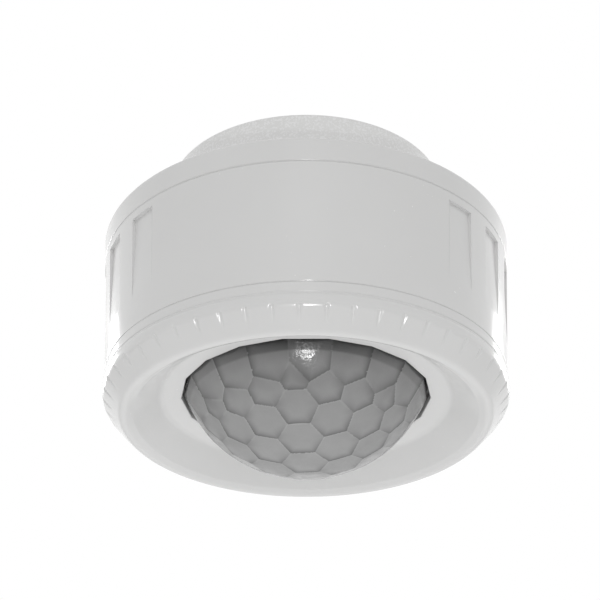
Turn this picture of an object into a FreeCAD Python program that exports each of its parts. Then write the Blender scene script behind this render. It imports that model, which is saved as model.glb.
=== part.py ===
import FreeCAD, Part
import math
import os
import types

import Sketcher

# Ceiling mounted passive infrared motion sensor, in millimetres.
# The origin is the centre of the face that lies on the ceiling, +Z points up into the ceiling,
# and the sensor hangs below it. The side that the controls are on is -Y.

SIZES = {
    # mounting base, the neck that is screwed to the ceiling
    "base_radius": 34.3,
    "base_height": 17.2,
    "base_floor": 2.5,
    "base_wall": 2.2,
    "base_edge": 0.6,
    "ledge_setback": 1.6,
    "ledge_thickness": 2.0,
    "lug_thickness": 1.8,
    "lug_reach": 1.65,
    "lug_sweep": 20.0,
    "stop_sweep": 4.0,
    "stop_gap_sweep": 1.0,
    "twist_clearance": 0.35,
    "ceiling_screw_spacing": 50.8,
    "ceiling_slot_length": 8.0,
    "ceiling_slot_radius": 2.25,
    # grommet in the cable entry
    "entry_radius": 7.5,
    "entry_recess": 1.0,
    "grommet_flange": 1.6,
    "grommet_inner_flange": 1.5,
    "cable_radius": 4.0,
    "seat_clearance": 0.05,
    # terminal block and its contacts
    "block_width": 34.0,
    "block_depth": 13.0,
    "block_height": 8.7,
    "block_back": 19.6,
    "terminal_pitch": 10.0,
    "cage_width": 6.4,
    "cage_depth": 8.8,
    "cage_height": 7.0,
    "cage_inset": 1.5,
    "cage_wall": 1.0,
    "wire_radius": 1.9,
    "wire_height": 4.2,
    "terminal_screw_radius": 1.5,
    "terminal_screw_length": 4.2,
    "terminal_screw_setback": 2.8,
    "terminal_head_radius": 2.6,
    "terminal_head_height": 1.6,
    "driver_slot": 0.8,
    "small_screw_radius": 1.1,
    "small_head_radius": 1.7,
    "small_head_height": 1.3,
    "small_slot": 0.5,
    "small_screw_bite": 1.6,
    "screw_end_gap": 0.2,
    "spring_width": 4.0,
    "spring_thickness": 0.4,
    "spring_flange": 3.0,
    "spring_foot": 4.6,
    "contact_gap": 0.2,
    "pad_width": 5.0,
    "pad_depth": 4.0,
    "pad_thickness": 0.6,
    "stem_radius": 1.0,
    "stem_tail": 0.8,
    # rear cover, the collar and shoulder of the head
    "twist_gap": 0.3,
    "body_radius": 50.0,
    "collar_height": 6.25,
    "collar_draft": 0.45,
    "cover_floor": 2.2,
    "cover_edge": 1.0,
    "lip_depth": 2.5,
    "lip_wall": 1.3,
    "seam_chamfer": 0.25,
    "spigot_wall": 1.8,
    "cover_boss_height": 2.0,
    "fit_clearance": 0.1,
    # main housing, the fluted cylinder
    "housing_height": 30.4,
    "housing_draft": 1.55,
    "housing_wall": 2.2,
    "chassis_floor": 2.0,
    "flute_count": 6,
    "flute_pitch": 16.8,
    "flute_sweep": 9.0,
    "flute_turn": -2.1,
    "flute_top": 2.2,
    "flute_length": 20.5,
    "flute_depth": 0.8,
    "post_margin": 4.0,
    "post_radius": 4.0,
    "post_neck_radius": 3.0,
    "post_top_gap": 0.2,
    "screw_radius": 1.5,
    "screw_head_radius": 2.8,
    "screw_head_height": 1.8,
    "screw_length": 14.0,
    "cross_length": 3.4,
    "cross_width": 0.9,
    # bayonet between housing and bezel
    "crease_gap": 0.15,
    "key_drop": 1.3,
    "key_height": 1.2,
    "key_sweep": 6.0,
    "key_reach": 1.6,
    "bezel_twist": 15.0,
    "skirt_wall": 1.6,
    "skirt_foot": 1.2,
    "key_clearance": 0.3,
    "key_play_sweep": 0.6,
    # bezel ring
    "lip_height": 1.7,
    "lip_step": 0.35,
    "bezel_bulge": 0.65,
    "bezel_wall": 1.8,
    "chamfer_angle": 48.3,
    "crest_width": 2.6,
    "crest_angle": 29.1,
    "crest_round": 3.0,
    "brow_round": 2.0,
    "corner_round": 2.5,
    "cavity_round": 1.2,
    "dish_floor": 4.8,
    "dish_width": 6.3,
    "dish_angle": 40.1,
    "dish_round": 3.0,
    "rim_drop": 3.35,
    "rim_fall": 0.65,
    "ring_band": 20.3,
    "opening_sides": 18,
    "opening_turn": 9.8,
    "notch_count": 51,
    "notch_width": 1.3,
    "notch_depth": 0.6,
    "notch_start": 0.3,
    "notch_length": 5.5,
    # lens dome and its clamp
    "lens_bulge": 1.9,
    "lens_skirt_gap": 0.8,
    "lens_centre_drop": 9.75,
    "lens_wall": 1.0,
    "lens_flange_reach": 1.8,
    "lens_flange_thickness": 1.2,
    "lens_clearance": 0.5,
    "skirt_turn": 12.0,
    "cell_pitch": 17.5,
    "cell_shift": 3.5,
    "cell_spread": 208.0,
    "cell_limit": 72.0,
    "lens_turn": 6.1,
    "retainer_width": 4.4,
    "retainer_thickness": 1.6,
    "retainer_screw_inset": 2.2,
    # circuit boards
    "board_clearance": 0.8,
    "board_thickness": 1.6,
    "board_hole_clearance": 0.25,
    "focus_height": 6.9,
    "spacer_wall": 1.1,
    # parts on the power board
    "relay_length": 19.0,
    "relay_width": 12.6,
    "relay_height": 8.4,
    "film_length": 18.0,
    "film_width": 8.0,
    "film_height": 8.4,
    "can_radius": 5.0,
    "can_height": 8.4,
    "can_groove": 0.7,
    "can_groove_drop": 1.8,
    "varistor_radius": 4.1,
    "varistor_thickness": 3.8,
    "fuse_radius": 2.0,
    "fuse_length": 10.0,
    "fuse_cap": 2.2,
    "fuse_step": 0.25,
    "choke_radius": 4.5,
    "choke_height": 8.2,
    "choke_flange": 1.4,
    "choke_waist": 1.4,
    "bridge_length": 8.4,
    "bridge_width": 6.5,
    "bridge_height": 3.4,
    "relay_x": -19.0,
    "relay_setback": 6.7,
    "film_x": 17.0,
    "film_setback": 5.5,
    "can_x": 20.0,
    "can_y": -11.0,
    "varistor_x": -24.0,
    "varistor_y": -8.0,
    "fuse_y": 28.0,
    "choke_margin": 18.0,
    "bridge_x": 4.0,
    "bridge_y": -6.0,
    # parts on the sensor board
    "pyro_can_radius": 4.15,
    "pyro_can_height": 4.2,
    "pyro_flange_radius": 4.6,
    "pyro_flange_height": 0.5,
    "pyro_window_length": 4.0,
    "pyro_window_width": 3.0,
    "pyro_window_depth": 0.5,
    "lead_radius": 0.25,
    "lead_ring_radius": 2.54,
    "lead_tail": 0.6,
    "holder_wall": 1.8,
    "holder_skirt": 2.1,
    "holder_lip": 1.2,
    "photo_radius": 2.0,
    "photo_height": 3.2,
    "led_radius": 1.5,
    "led_height": 3.6,
    "led_collar": 0.3,
    "led_collar_height": 0.8,
    "indicator_x": 13.0,
    "indicator_y": -9.0,
    "header_x": -13.0,
    "header_y": -20.0,
    "header_length": 10.2,
    "header_width": 2.5,
    "header_height": 2.5,
    "header_pin": 0.6,
    "header_pitch": 2.54,
    "controller_length": 10.3,
    "controller_width": 7.5,
    "controller_height": 2.3,
    "amplifier_length": 8.7,
    "amplifier_width": 3.9,
    "amplifier_height": 1.5,
    "regulator_radius": 2.3,
    "regulator_height": 4.6,
    "regulator_flat": 1.3,
    "controller_x": 6.0,
    "controller_y": -12.0,
    "amplifier_x": -8.0,
    "amplifier_y": 6.0,
    "regulator_x": 12.0,
    "regulator_y": 8.0,
    # controls under the bezel
    "control_margin": 3.95,
    "dial_sweep": 24.0,
    "trimmer_width": 6.6,
    "trimmer_height": 4.5,
    "trimmer_bite": 2.2,
    "dial_stem_radius": 1.6,
    "dial_radius": 3.0,
    "dial_height": 3.0,
    "dial_gap": 0.3,
    "dial_slot_width": 1.0,
    "dial_slot_depth": 1.2,
    "running_clearance": 0.05,
    "hole_clearance": 0.3,
    "button_angle": 30.0,
    "button_radius": 2.2,
    "button_stand": 2.6,
    "button_collar": 0.8,
    "button_collar_height": 1.0,
    "button_stem_radius": 1.5,
    "button_travel": 0.5,
    "switch_width": 6.0,
    "switch_height": 3.6,
    "plunger_radius": 1.7,
    "plunger_stand": 1.4,
    "plunger_bite": 1.2,
}


class Term:
    """A size with the sheet expression that it comes from. Angles are in degrees."""

    def __init__(self, value, text):
        self.value = value
        self.text = text

    def __add__(self, other):
        other = as_term(other)
        return Term(self.value + other.value, "(%s + %s)" % (self.text, other.text))

    def __radd__(self, other):
        return as_term(other) + self

    def __sub__(self, other):
        other = as_term(other)
        return Term(self.value - other.value, "(%s - %s)" % (self.text, other.text))

    def __rsub__(self, other):
        return as_term(other) - self

    def __mul__(self, other):
        other = as_term(other)
        return Term(self.value * other.value, "(%s * %s)" % (self.text, other.text))

    def __rmul__(self, other):
        return as_term(other) * self

    def __truediv__(self, other):
        other = as_term(other)
        return Term(self.value / other.value, "(%s / %s)" % (self.text, other.text))

    def __neg__(self):
        return Term(-self.value, "(0 - %s)" % self.text)


def as_term(number):
    """The number as a term, so that sizes and plain numbers mix."""
    return number if isinstance(number, Term) else Term(float(number), repr(float(number)))


def sine(angle):
    angle = as_term(angle)
    return Term(math.sin(math.radians(angle.value)), "sin(%s)" % angle.text)


def cosine(angle):
    angle = as_term(angle)
    return Term(math.cos(math.radians(angle.value)), "cos(%s)" % angle.text)


def tangent(angle):
    angle = as_term(angle)
    return Term(math.tan(math.radians(angle.value)), "tan(%s)" % angle.text)


doc = FreeCAD.newDocument("pir_motion_sensor")
sheet = doc.addObject("Spreadsheet::Sheet", "Sizes")
for row, (alias, value) in enumerate(SIZES.items(), start=1):
    sheet.set("A%d" % row, alias)
    sheet.set("B%d" % row, str(value))
    sheet.setAlias("B%d" % row, alias)
doc.recompute()
terms = {alias: Term(float(value), "Sizes." + alias) for alias, value in SIZES.items()}
size = types.SimpleNamespace(**terms)

sub_parts = []


# Helpers for bound features

def bind(target, path, term):
    """Tie a property to the sheet."""
    target.setExpression(path, as_term(term).text)


def finish(target, label):
    """Name a sub-part and list it for export."""
    target.Label = label
    sub_parts.append(target)
    return target


def new_body(label):
    body = doc.addObject("PartDesign::Body", label)
    return finish(body, label)


def origin_feature(body, role):
    return [feature for feature in body.Origin.OriginFeatures if feature.Role == role][0]


def new_sketch(body, name, role, level=None, azimuth=None):
    """A sketch on an origin plane, raised to a level, or turned about Z to an azimuth."""
    sketch = body.newObject("Sketcher::SketchObject", name)
    sketch.AttachmentSupport = [(origin_feature(body, role), "")]
    sketch.MapMode = "FlatFace"
    if level is not None:
        bind(sketch, ".AttachmentOffset.Base.z", level)
    if azimuth is not None:
        turn = FreeCAD.Rotation(FreeCAD.Vector(0, 1, 0), as_term(azimuth).value)
        sketch.AttachmentOffset = FreeCAD.Placement(FreeCAD.Vector(), turn)
        bind(sketch, ".AttachmentOffset.Rotation.Angle", azimuth)
    return sketch


def pin_point(sketch, geometry, position, point):
    """Hold one point of the sketch at two bound coordinates."""
    for kind, term in zip(("DistanceX", "DistanceY"), point):
        term = as_term(term)
        index = sketch.addConstraint(Sketcher.Constraint(kind, -1, 1, geometry, position, term.value))
        sketch.setExpression("Constraints[%d]" % index, term.text)


def draw_polygon(sketch, points):
    """A closed outline of straight lines through bound points."""
    first = sketch.GeometryCount
    corners = [FreeCAD.Vector(as_term(x).value, as_term(y).value, 0) for x, y in points]
    for start, end in zip(corners, corners[1:] + corners[:1]):
        sketch.addGeometry(Part.LineSegment(start, end), False)
    for index in range(len(points)):
        following = first + (index + 1) % len(points)
        sketch.addConstraint(Sketcher.Constraint("Coincident", first + index, 2, following, 1))
    for index, point in enumerate(points):
        pin_point(sketch, first + index, 1, point)


def draw_circle(sketch, centre, radius):
    x, y = (as_term(value) for value in centre)
    radius = as_term(radius)
    circle = Part.Circle(FreeCAD.Vector(x.value, y.value, 0), FreeCAD.Vector(0, 0, 1), radius.value)
    geometry = sketch.addGeometry(circle, False)
    index = sketch.addConstraint(Sketcher.Constraint("Radius", geometry, radius.value))
    sketch.setExpression("Constraints[%d]" % index, radius.text)
    pin_point(sketch, geometry, 3, centre)


def turn_profile(body, name, points, kind="Revolution", sweep=None, azimuth=None):
    """A profile in the plane of radius and height, turned about Z by a full turn or a sweep."""
    sketch = new_sketch(body, name + "_profile", "XZ_Plane", azimuth=azimuth)
    draw_polygon(sketch, points)
    feature = body.newObject("PartDesign::" + kind, name)
    feature.Profile = sketch
    feature.ReferenceAxis = (sketch, ["V_Axis"])
    feature.Angle = 360
    if sweep is not None:
        feature.Midplane = True
        feature.Angle = as_term(sweep).value
        bind(feature, "Angle", sweep)
    doc.recompute()
    return feature


def raise_sketch(body, sketch, kind, length, downward=False):
    """Pad or pocket a sketch straight up, or down."""
    feature = body.newObject("PartDesign::" + kind, sketch.Name + "_" + kind.lower())
    feature.Profile = sketch
    feature.Type = "Length"
    feature.Length = as_term(length).value
    bind(feature, "Length", length)
    feature.Reversed = downward if kind == "Pad" else not downward
    doc.recompute()
    return feature


def pattern_about_z(body, feature, count, angle=None):
    """Copies of a feature about Z, over a full turn or a bound angle."""
    pattern = body.newObject("PartDesign::PolarPattern", feature.Name + "_pattern")
    pattern.Originals = [feature]
    pattern.Axis = (origin_feature(body, "Z_Axis"), [""])
    pattern.Angle = 360
    if angle is not None:
        pattern.Angle = as_term(angle).value
        bind(pattern, "Angle", angle)
    pattern.Occurrences = int(as_term(count).value)
    bind(pattern, "Occurrences", count)
    body.Tip = pattern
    doc.recompute()
    return pattern


def fillet_circles(body, name, radius, circles, kind="Fillet"):
    """Round or chamfer the circular edges that have the given radii and heights."""
    doc.recompute()
    base = body.Tip
    wanted = [(as_term(r).value, as_term(z).value) for r, z in circles]
    names = []
    for index, edge in enumerate(base.Shape.Edges, start=1):
        if not isinstance(edge.Curve, Part.Circle):
            continue
        for r, z in wanted:
            if abs(edge.Curve.Radius - r) < 1e-4 and abs(edge.Curve.Center.z - z) < 1e-4:
                names.append("Edge%d" % index)
    feature = body.newObject("PartDesign::" + kind, name)
    feature.Base = (base, names)
    path = "Radius" if kind == "Fillet" else "Size"
    setattr(feature, path, as_term(radius).value)
    bind(feature, path, radius)
    doc.recompute()
    return feature


def place(target, x=0, y=0, z=0):
    for axis, term in (("x", x), ("y", y), ("z", z)):
        bind(target, "Placement.Base." + axis, term)
    return target


def new_cylinder(name, radius, height, x=0, y=0, z=0):
    """A cylinder that stands on z."""
    target = doc.addObject("Part::Cylinder", name)
    bind(target, "Radius", radius)
    bind(target, "Height", height)
    return place(target, x, y, z)


def new_box(name, length, width, height, x=0, y=0, z=0):
    """A box that stands on z with its middle at x and y."""
    target = doc.addObject("Part::Box", name)
    bind(target, "Length", length)
    bind(target, "Width", width)
    bind(target, "Height", height)
    return place(target, x - as_term(length) / 2, y - as_term(width) / 2, z)


def lay_along_x(name, radius, length, x, y, z):
    """A cylinder along X with its middle at x, y and z."""
    target = doc.addObject("Part::Cylinder", name)
    bind(target, "Radius", radius)
    bind(target, "Height", length)
    turn = FreeCAD.Rotation(FreeCAD.Vector(0, 1, 0), 90)
    target.Placement = FreeCAD.Placement(FreeCAD.Vector(), turn)
    return place(target, x - as_term(length) / 2, y, z)


def lay_along_y(name, radius, length, x, y, z):
    """A cylinder along Y that starts at y."""
    target = doc.addObject("Part::Cylinder", name)
    bind(target, "Radius", radius)
    bind(target, "Height", length)
    turn = FreeCAD.Rotation(FreeCAD.Vector(1, 0, 0), -90)
    target.Placement = FreeCAD.Placement(FreeCAD.Vector(), turn)
    return place(target, x, y, z)


def join(name, *shapes):
    target = doc.addObject("Part::MultiFuse", name)
    target.Shapes = list(shapes)
    return target


def take_away(name, base, *tools):
    """The base without the tools."""
    target = doc.addObject("Part::Cut", name)
    target.Base = base
    target.Tool = tools[0] if len(tools) == 1 else join(name + "_tools", *tools)
    return target


def gather(name, shapes):
    """Separate solids under one name."""
    target = doc.addObject("Part::Compound", name)
    target.Links = list(shapes)
    return target


def on_circle(radius, angle):
    """The point at a radius and an azimuth, counted from +X towards +Y."""
    return as_term(radius) * cosine(angle), as_term(radius) * sine(angle)


# Levels and radii that several pieces share

ceiling = as_term(0)
base_inside = ceiling - size.base_floor
base_foot = ceiling - size.base_height
ledge_bottom = base_foot + size.ledge_setback
ledge_top = ledge_bottom + size.ledge_thickness
lug_bottom = ledge_top + size.twist_clearance
lug_top = lug_bottom + size.lug_thickness
base_inner_radius = size.base_radius - size.base_wall
lug_radius = base_inner_radius - size.twist_clearance
spigot_radius = lug_radius - size.lug_reach
spigot_inner_radius = spigot_radius - size.spigot_wall
ledge_radius = spigot_radius + size.twist_clearance

shoulder = base_foot - size.twist_gap
cover_inside = shoulder - size.cover_floor
seam = shoulder - size.collar_height
seam_radius = size.body_radius - size.collar_draft
seam_inner_radius = seam_radius - size.housing_wall
power_top = cover_inside - size.cover_boss_height
power_bottom = power_top - size.board_thickness

crease = seam - size.housing_height
crease_radius = seam_radius - size.housing_draft
crease_inner_radius = crease_radius - size.housing_wall
chassis_top = crease + size.chassis_floor
bezel_top = crease - size.crease_gap
key_top = bezel_top - size.key_drop
key_bottom = key_top - size.key_height
lip_radius = crease_radius - size.lip_step
bezel_radius = lip_radius + size.bezel_bulge
skirt_radius = lip_radius - size.bezel_wall - size.key_clearance
skirt_inner_radius = skirt_radius - size.skirt_wall
skirt_bottom = key_bottom - size.key_clearance - size.skirt_foot

opening_radius = size.body_radius - size.ring_band
dish_radius = opening_radius + size.dish_floor
brow_radius = dish_radius + size.dish_width
crest_radius = brow_radius + size.crest_width
lens_radius = opening_radius + size.lens_bulge
lens_centre = crease + size.lens_centre_drop
lens_apex = lens_centre - lens_radius
facet_half = as_term(180) / size.opening_sides
lens_corner_radius = opening_radius - size.lens_skirt_gap
lens_skirt_radius = lens_corner_radius * cosine(facet_half)
lens_hole_radius = lens_corner_radius + size.lens_clearance
flange_radius = lens_hole_radius + size.lens_flange_reach
flange_top = chassis_top + size.lens_flange_thickness
retainer_radius = flange_radius + size.retainer_width
retainer_screw_ring = retainer_radius - size.retainer_screw_inset

sensor_bottom = lens_centre + size.focus_height
sensor_top = sensor_bottom + size.board_thickness
board_gap = power_bottom - sensor_top
board_radius = crease_inner_radius - size.board_clearance
post_ring_radius = board_radius - size.post_margin
control_ring_radius = skirt_inner_radius - size.control_margin
neck_top = power_bottom - size.post_top_gap

LUG_COUNT = 3
KEY_COUNT = 3
POST_ANGLES = (90, 210, 330)
RETAINER_ANGLES = (30, 150, 270)
DIAL_NAMES = ("time", "lux", "range")
dial_angles = [270 + step * size.dial_sweep for step in (-1, 0, 1)]
post_places = [on_circle(post_ring_radius, angle) for angle in POST_ANGLES]
retainer_places = [on_circle(retainer_screw_ring, angle) for angle in RETAINER_ANGLES]
dial_places = [on_circle(control_ring_radius, angle) for angle in dial_angles]
button_place = on_circle(control_ring_radius, size.button_angle)
block_offset = base_inner_radius - size.block_back
terminal_places = [step * size.terminal_pitch for step in (-1, 0, 1)]
block_screw_places = [step * size.terminal_pitch / 2 for step in (-1, 1)]
terminal_screw_y = block_offset + size.cage_inset + size.cage_depth - size.terminal_screw_setback
block_screw_y = block_offset + size.cage_inset + size.cage_depth / 2
block_bottom = base_inside - size.block_height
pad_y = block_offset - size.spring_foot / 2
pad_top = shoulder + size.pad_thickness
lead_angles = (0, 120, 240)


# Mounting base

def make_mounting_base():
    body = new_body("mounting_base")
    turn_profile(body, "cup", [
        (0, ceiling),
        (size.base_radius, ceiling),
        (size.base_radius, base_foot),
        (base_inner_radius, base_foot),
        (base_inner_radius, base_inside),
        (0, base_inside),
    ])
    ledge_sweep = size.lug_sweep + size.stop_gap_sweep + size.stop_sweep
    ledge_azimuth = -(size.stop_gap_sweep + size.stop_sweep) / 2
    ledge = turn_profile(body, "ledge", [
        (ledge_radius, ledge_bottom),
        (size.base_radius - size.base_wall / 2, ledge_bottom),
        (size.base_radius - size.base_wall / 2, ledge_top),
        (ledge_radius, ledge_top),
    ], sweep=ledge_sweep, azimuth=ledge_azimuth)
    pattern_about_z(body, ledge, LUG_COUNT)
    stop_azimuth = -(size.lug_sweep / 2 + size.stop_gap_sweep + size.stop_sweep / 2)
    stop = turn_profile(body, "stop", [
        (ledge_radius, ledge_bottom),
        (size.base_radius - size.base_wall / 2, ledge_bottom),
        (size.base_radius - size.base_wall / 2, lug_top),
        (ledge_radius, lug_top),
    ], sweep=size.stop_sweep, azimuth=stop_azimuth)
    pattern_about_z(body, stop, LUG_COUNT)
    entry = new_sketch(body, "entry", "XY_Plane")
    draw_circle(entry, (0, 0), size.entry_radius)
    raise_sketch(body, entry, "Pocket", size.base_floor, downward=True)
    recess = new_sketch(body, "entry_recess_ring", "XY_Plane")
    draw_circle(recess, (0, 0), size.entry_radius + size.grommet_flange)
    raise_sketch(body, recess, "Pocket", size.entry_recess, downward=True)
    half = size.ceiling_slot_length / 2 - size.ceiling_slot_radius
    for side, name in ((-1, "left"), (1, "right")):
        middle = side * size.ceiling_screw_spacing / 2
        slot = new_sketch(body, name + "_slot", "XY_Plane")
        draw_polygon(slot, [
            (middle - half, -size.ceiling_slot_radius),
            (middle + half, -size.ceiling_slot_radius),
            (middle + half, size.ceiling_slot_radius),
            (middle - half, size.ceiling_slot_radius),
        ])
        raise_sketch(body, slot, "Pocket", size.base_floor, downward=True)
        for end, end_name in ((-1, "inner"), (1, "outer")):
            cap = new_sketch(body, "%s_slot_%s_end" % (name, end_name), "XY_Plane")
            draw_circle(cap, (middle + end * half, 0), size.ceiling_slot_radius)
            raise_sketch(body, cap, "Pocket", size.base_floor, downward=True)
    pilots = new_sketch(body, "block_pilots", "XY_Plane", level=base_inside)
    for x in block_screw_places:
        draw_circle(pilots, (x, block_screw_y), size.small_screw_radius)
    raise_sketch(body, pilots, "Pocket", size.small_screw_bite)
    fillet_circles(body, "foot_edge", size.base_edge, [(size.base_radius, base_foot)])
    return body


def make_cable_grommet():
    body = new_body("cable_grommet")
    neck = size.entry_radius - size.seat_clearance
    flange = size.entry_radius + size.grommet_flange - size.seat_clearance
    turn_profile(body, "grommet", [
        (size.cable_radius, ceiling),
        (flange, ceiling),
        (flange, ceiling - size.entry_recess),
        (neck, ceiling - size.entry_recess),
        (neck, base_inside),
        (flange, base_inside),
        (flange, base_inside - size.grommet_inner_flange),
        (size.cable_radius, base_inside - size.grommet_inner_flange),
    ])
    return body


def make_terminals():
    middle_y = block_offset + size.block_depth / 2
    cage_y = block_offset + size.cage_inset + size.cage_depth / 2
    wire_z = block_bottom + size.wire_height
    slack = size.fit_clearance
    block = new_box("block", size.block_width, size.block_depth, size.block_height,
                    0, middle_y, block_bottom)
    cuts = []
    cages = []
    screws = []
    for number, x in enumerate(terminal_places):
        cuts.append(new_box("cage_room_%d" % number, size.cage_width + 2 * slack, size.cage_depth + 2 * slack,
                            size.cage_height + slack, x, cage_y, block_bottom))
        cuts.append(lay_along_y("wire_way_%d" % number, size.wire_radius + slack,
                                size.cage_inset + size.cage_wall, x, block_offset - slack, wire_z))
        cage = new_box("cage_%d" % number, size.cage_width, size.cage_depth, size.cage_height,
                       x, cage_y, block_bottom)
        wire = lay_along_y("wire_hole_%d" % number, size.wire_radius, size.cage_depth - size.cage_wall,
                           x, block_offset + size.cage_inset, wire_z)
        thread = new_cylinder("thread_%d" % number, size.terminal_screw_radius + size.seat_clearance,
                              size.cage_height - size.cage_wall, x, terminal_screw_y, block_bottom)
        cages.append(take_away("terminal_cage_%d" % number, cage, wire, thread))
        shank = new_cylinder("terminal_shank_%d" % number, size.terminal_screw_radius,
                             size.terminal_screw_length + size.terminal_head_height,
                             x, terminal_screw_y, block_bottom - size.terminal_head_height)
        head = new_cylinder("terminal_head_%d" % number, size.terminal_head_radius, size.terminal_head_height,
                            x, terminal_screw_y, block_bottom - size.terminal_head_height)
        slot = new_box("terminal_slot_%d" % number, 3 * size.terminal_head_radius, size.driver_slot,
                       size.terminal_head_height, x, terminal_screw_y,
                       block_bottom - size.terminal_head_height * 1.5)
        screws.append(take_away("terminal_screw_%d" % number, join("screw_%d" % number, shank, head), slot))
    for number, x in enumerate(block_screw_places):
        cuts.append(new_cylinder("block_hole_%d" % number, size.small_screw_radius + slack,
                                 size.block_height, x, block_screw_y, block_bottom))
    finish(take_away("terminal_block", block, *cuts), "terminal_block")
    finish(gather("terminal_cages", cages), "terminal_cages")
    finish(gather("terminal_screws", screws), "terminal_screws")


def small_screw(name, x, y, head_face, length, head_up=True):
    """A small pan head screw. The head lies on head_face and the shank runs the other way."""
    shank_z = head_face - as_term(length) if head_up else head_face
    head_z = head_face if head_up else head_face - size.small_head_height
    shank_radius = size.small_screw_radius - size.seat_clearance
    shank = new_cylinder(name + "_shank", shank_radius, length, x, y, shank_z)
    head = new_cylinder(name + "_head", size.small_head_radius, size.small_head_height, x, y, head_z)
    slot_z = head_z + size.small_head_height / (2 if head_up else -2)
    slot = new_box(name + "_slot", 3 * size.small_head_radius, size.small_slot,
                   size.small_head_height, x, y, slot_z)
    return take_away(name, join(name + "_blank", shank, head), slot)


def make_block_screws():
    length = size.block_height + size.small_screw_bite - size.screw_end_gap
    screws = [small_screw("block_screw_%d" % number, x, block_screw_y, block_bottom, length, head_up=False)
              for number, x in enumerate(block_screw_places)]
    finish(gather("terminal_block_screws", screws), "terminal_block_screws")


def make_contacts():
    """Leaf springs on the base and the pads that they meet on the head."""
    springs = []
    pads = []
    flange_z = block_bottom - size.spring_thickness
    foot_z = pad_top + size.contact_gap
    for number, x in enumerate(terminal_places):
        flange = new_box("flange_%d" % number, size.spring_width, size.spring_flange, size.spring_thickness,
                         x, block_offset + size.spring_flange / 2, flange_z)
        web = new_box("web_%d" % number, size.spring_width, size.spring_thickness, block_bottom - foot_z,
                      x, block_offset + size.spring_thickness / 2, foot_z)
        foot = new_box("foot_%d" % number, size.spring_width, size.spring_foot, size.spring_thickness,
                       x, block_offset + size.spring_thickness - size.spring_foot / 2, foot_z)
        springs.append(join("contact_spring_%d" % number, flange, web, foot))
        pad = new_box("pad_%d" % number, size.pad_width, size.pad_depth, size.pad_thickness,
                      x, pad_y, shoulder)
        stem = new_cylinder("stem_%d" % number, size.stem_radius, shoulder - power_bottom + size.stem_tail,
                            x, pad_y, power_bottom - size.stem_tail)
        pads.append(join("contact_pad_%d" % number, pad, stem))
    finish(gather("contact_springs", springs), "contact_springs")
    finish(gather("contact_pads", pads), "contact_pads")


# Head shells

def make_rear_cover():
    body = new_body("rear_cover")
    slope = size.housing_draft / size.housing_height
    rim_radius = seam_inner_radius - size.fit_clearance - size.lip_depth * slope
    turn_profile(body, "lid", [
        (0, shoulder),
        (spigot_inner_radius, shoulder),
        (spigot_inner_radius, lug_top),
        (spigot_radius, lug_top),
        (spigot_radius, shoulder),
        (size.body_radius, shoulder),
        (seam_radius, seam),
        (rim_radius, seam),
        (rim_radius, seam - size.lip_depth),
        (rim_radius - size.lip_wall, seam - size.lip_depth),
        (rim_radius - size.lip_wall, cover_inside),
        (0, cover_inside),
    ])
    lug = turn_profile(body, "lug", [
        (spigot_radius - size.spigot_wall / 2, lug_bottom),
        (lug_radius, lug_bottom),
        (lug_radius, lug_top),
        (spigot_radius - size.spigot_wall / 2, lug_top),
    ], sweep=size.lug_sweep)
    pattern_about_z(body, lug, LUG_COUNT)
    bosses = new_sketch(body, "bosses", "XY_Plane", level=cover_inside)
    for x, y in post_places:
        draw_circle(bosses, (x, y), size.post_neck_radius + size.spacer_wall)
    raise_sketch(body, bosses, "Pad", size.cover_boss_height, downward=True)
    holes = new_sketch(body, "screw_holes", "XY_Plane", level=shoulder)
    for x, y in post_places:
        draw_circle(holes, (x, y), size.screw_radius + size.fit_clearance)
    raise_sketch(body, holes, "Pocket", size.cover_floor + size.cover_boss_height, downward=True)
    sinks = new_sketch(body, "screw_sinks", "XY_Plane", level=shoulder)
    for x, y in post_places:
        draw_circle(sinks, (x, y), size.screw_head_radius + size.fit_clearance * 2)
    raise_sketch(body, sinks, "Pocket", size.screw_head_height, downward=True)
    stems = new_sketch(body, "stem_holes", "XY_Plane", level=shoulder)
    for x in terminal_places:
        draw_circle(stems, (x, pad_y), size.stem_radius + size.seat_clearance)
    raise_sketch(body, stems, "Pocket", size.cover_floor, downward=True)
    fillet_circles(body, "shoulder_edge", size.cover_edge, [(size.body_radius, shoulder)])
    fillet_circles(body, "collar_seam", size.seam_chamfer, [(seam_radius, seam)], kind="Chamfer")
    return body


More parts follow.
